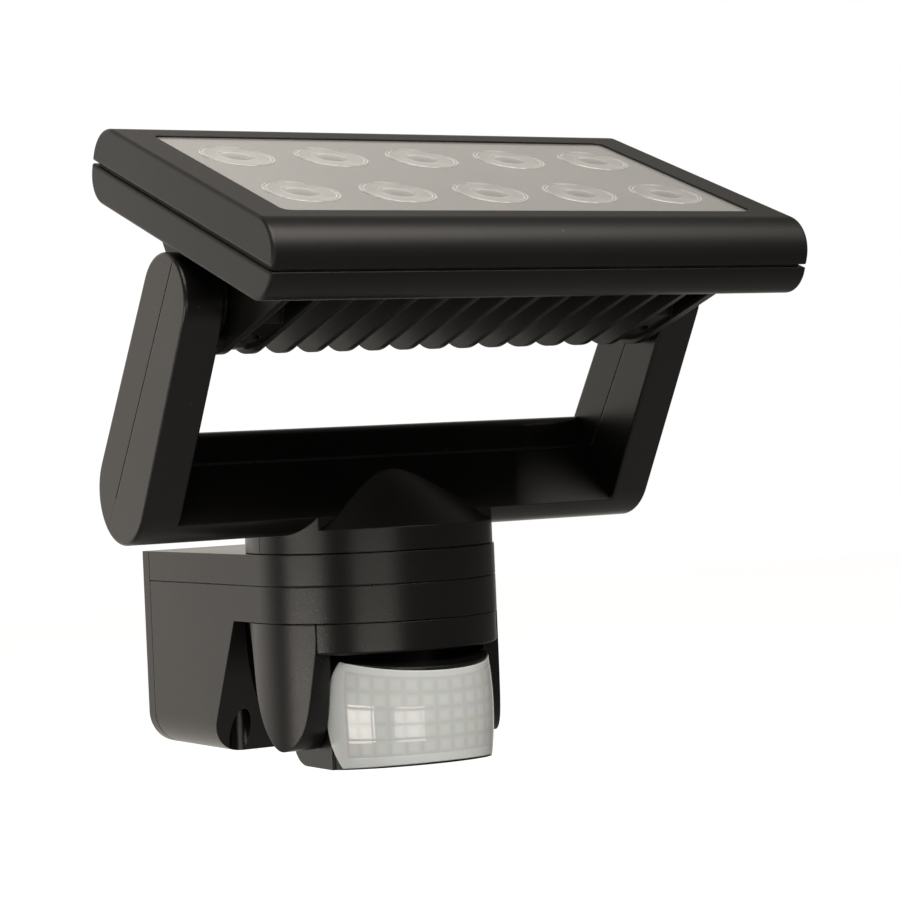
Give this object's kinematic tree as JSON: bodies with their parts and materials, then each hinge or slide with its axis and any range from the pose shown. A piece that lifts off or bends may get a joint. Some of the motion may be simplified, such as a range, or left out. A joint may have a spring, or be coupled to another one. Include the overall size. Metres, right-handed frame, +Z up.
{
  "type": "motion sensor floodlight",
  "caption": "Wall-mounted LED floodlight with a finned lamp head in a tilting yoke and a swivelling passive infrared motion sensor below.",
  "frame": {"origin": "centre of the face that rests on the wall", "axes": "+Y into the wall, -Y out to the front, +X to the right as seen from the front, +Z up"},
  "size_m": [0.2002, 0.2156, 0.2158],
  "materials": {
    "housing_plastic": "satin black moulded plastic with a very fine grain",
    "lamp_casting": "die-cast aluminium under satin black powder coat",
    "rubber_seal": "soft black sealing rubber",
    "clear_lens": "clear moulded acrylic with round optics, warm tint",
    "milky_lens": "milky white polyethylene with faint lens facets",
    "bush_plastic": "natural acetal, smooth",
    "screw_steel": "zinc-plated steel, satin",
    "circuit_board": "green solder mask over glass fibre",
    "white_board": "white reflective solder mask",
    "led_phosphor": "yellow phosphor under a silicone dome",
    "component_black": "black epoxy and sleeve",
    "relay_blue": "blue moulded case",
    "sensor_can": "nickel-plated can",
    "knob_plastic": "mid grey moulded plastic"
  },
  "bodies": {
    "base": {"wall_plate": "housing_plastic", "wall_gasket": "rubber_seal", "cable_grommet": "rubber_seal", "plate_screws": "screw_steel", "terminal_block": "bush_plastic", "terminal_screws": "screw_steel", "main_housing": "housing_plastic", "housing_cap": "housing_plastic", "cap_screws": "screw_steel", "driver_board": "circuit_board", "board_screws": "screw_steel", "driver_transformer": "component_black", "control_relay": "relay_blue", "driver_capacitors": "component_black", "swivel_bush": "bush_plastic", "turret_bush": "bush_plastic"},
    "yoke": {"yoke_front_shell": "housing_plastic", "yoke_rear_shell": "housing_plastic", "yoke_screws": "screw_steel", "swivel_stem": "screw_steel", "swivel_washer": "screw_steel", "swivel_nut": "screw_steel", "right_pivot_bush": "bush_plastic", "left_pivot_bush": "bush_plastic"},
    "lamp_head": {"front_bezel": "lamp_casting", "heat_sink": "lamp_casting", "bezel_screws": "screw_steel", "carrier_screws": "screw_steel", "head_seal": "rubber_seal", "lens_seal": "rubber_seal", "lens_plate": "clear_lens", "optic_carrier": "white_board", "led_board": "white_board", "leds": "led_phosphor", "right_pivot_shaft": "screw_steel", "left_pivot_shaft": "screw_steel", "right_pivot_washer": "screw_steel", "left_pivot_washer": "screw_steel", "right_pivot_nut": "screw_steel", "left_pivot_nut": "screw_steel"},
    "sensor_turret": {"sensor_fork": "housing_plastic", "turret_clip": "housing_plastic", "turret_band": "housing_plastic", "tilt_pins": "screw_steel"},
    "sensor_head": {"sensor_front_shell": "housing_plastic", "sensor_rear_shell": "housing_plastic", "fresnel_lens": "milky_lens", "sensor_board": "circuit_board", "pyro_sensor": "sensor_can", "light_sensor": "component_black", "trim_pots": "component_black"},
    "time_adjuster": {"time_knob": "knob_plastic"},
    "lux_adjuster": {"lux_knob": "knob_plastic"},
    "range_adjuster": {"range_knob": "knob_plastic"}
  },
  "joints": [
    {"name": "yoke_swivel", "type": "hinge", "parent": "base", "child": "yoke", "pos_m": [0, -0.0911, 0.0357], "axis": [0, 0, 1], "range_deg": [-50, 50]},
    {"name": "lamp_tilt", "type": "hinge", "parent": "yoke", "child": "lamp_head", "pos_m": [0, -0.14077, 0.11965], "axis": [1, 0, 0], "range_deg": [-30, 95]},
    {"name": "turret_swivel", "type": "hinge", "parent": "base", "child": "sensor_turret", "pos_m": [0, -0.0911, 0.0119], "axis": [0, 0, 1], "range_deg": [-60, 60]},
    {"name": "sensor_tilt", "type": "hinge", "parent": "sensor_turret", "child": "sensor_head", "pos_m": [0, -0.1026, -0.0167], "axis": [1, 0, 0], "range_deg": [-2, 40]},
    {"name": "time_knob_turn", "type": "hinge", "parent": "sensor_head", "child": "time_adjuster", "pos_m": [-0.015, -0.1074, -0.0378], "axis": [0, 0, 1], "range_deg": [-135, 135]},
    {"name": "lux_knob_turn", "type": "hinge", "parent": "sensor_head", "child": "lux_adjuster", "pos_m": [0, -0.1074, -0.0378], "axis": [0, 0, 1], "range_deg": [-135, 135]},
    {"name": "range_knob_turn", "type": "hinge", "parent": "sensor_head", "child": "range_adjuster", "pos_m": [0.015, -0.1074, -0.0378], "axis": [0, 0, 1], "range_deg": [-135, 135]}
  ]
}
